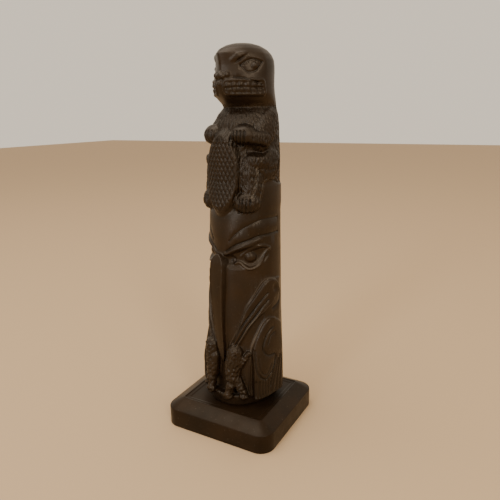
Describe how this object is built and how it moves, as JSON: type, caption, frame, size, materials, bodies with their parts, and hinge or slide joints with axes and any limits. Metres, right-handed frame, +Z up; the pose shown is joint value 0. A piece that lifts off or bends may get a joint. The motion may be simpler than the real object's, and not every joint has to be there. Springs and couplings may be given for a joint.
{
  "type": "totem pole figurine",
  "caption": "Small dark cast totem pole ornament, a seated scaly-tailed animal above a long-beaked bird, on a square bevelled plinth.",
  "frame": {"origin": "centre of the plinth's underside", "axes": "+Z up the pole, -Y out of the plinth's front face, +X to the carved figures' left"},
  "size_m": [0.074, 0.0696, 0.23],
  "materials": {
    "dark_resin": "satin-gloss black-brown cast resin, worn lighter on the raised edges",
    "plinth_resin": "satin black-brown cast resin, lightly dusty"
  },
  "bodies": {
    "root": {"carved_pole": "dark_resin", "plinth": "plinth_resin"}
  },
  "joints": []
}
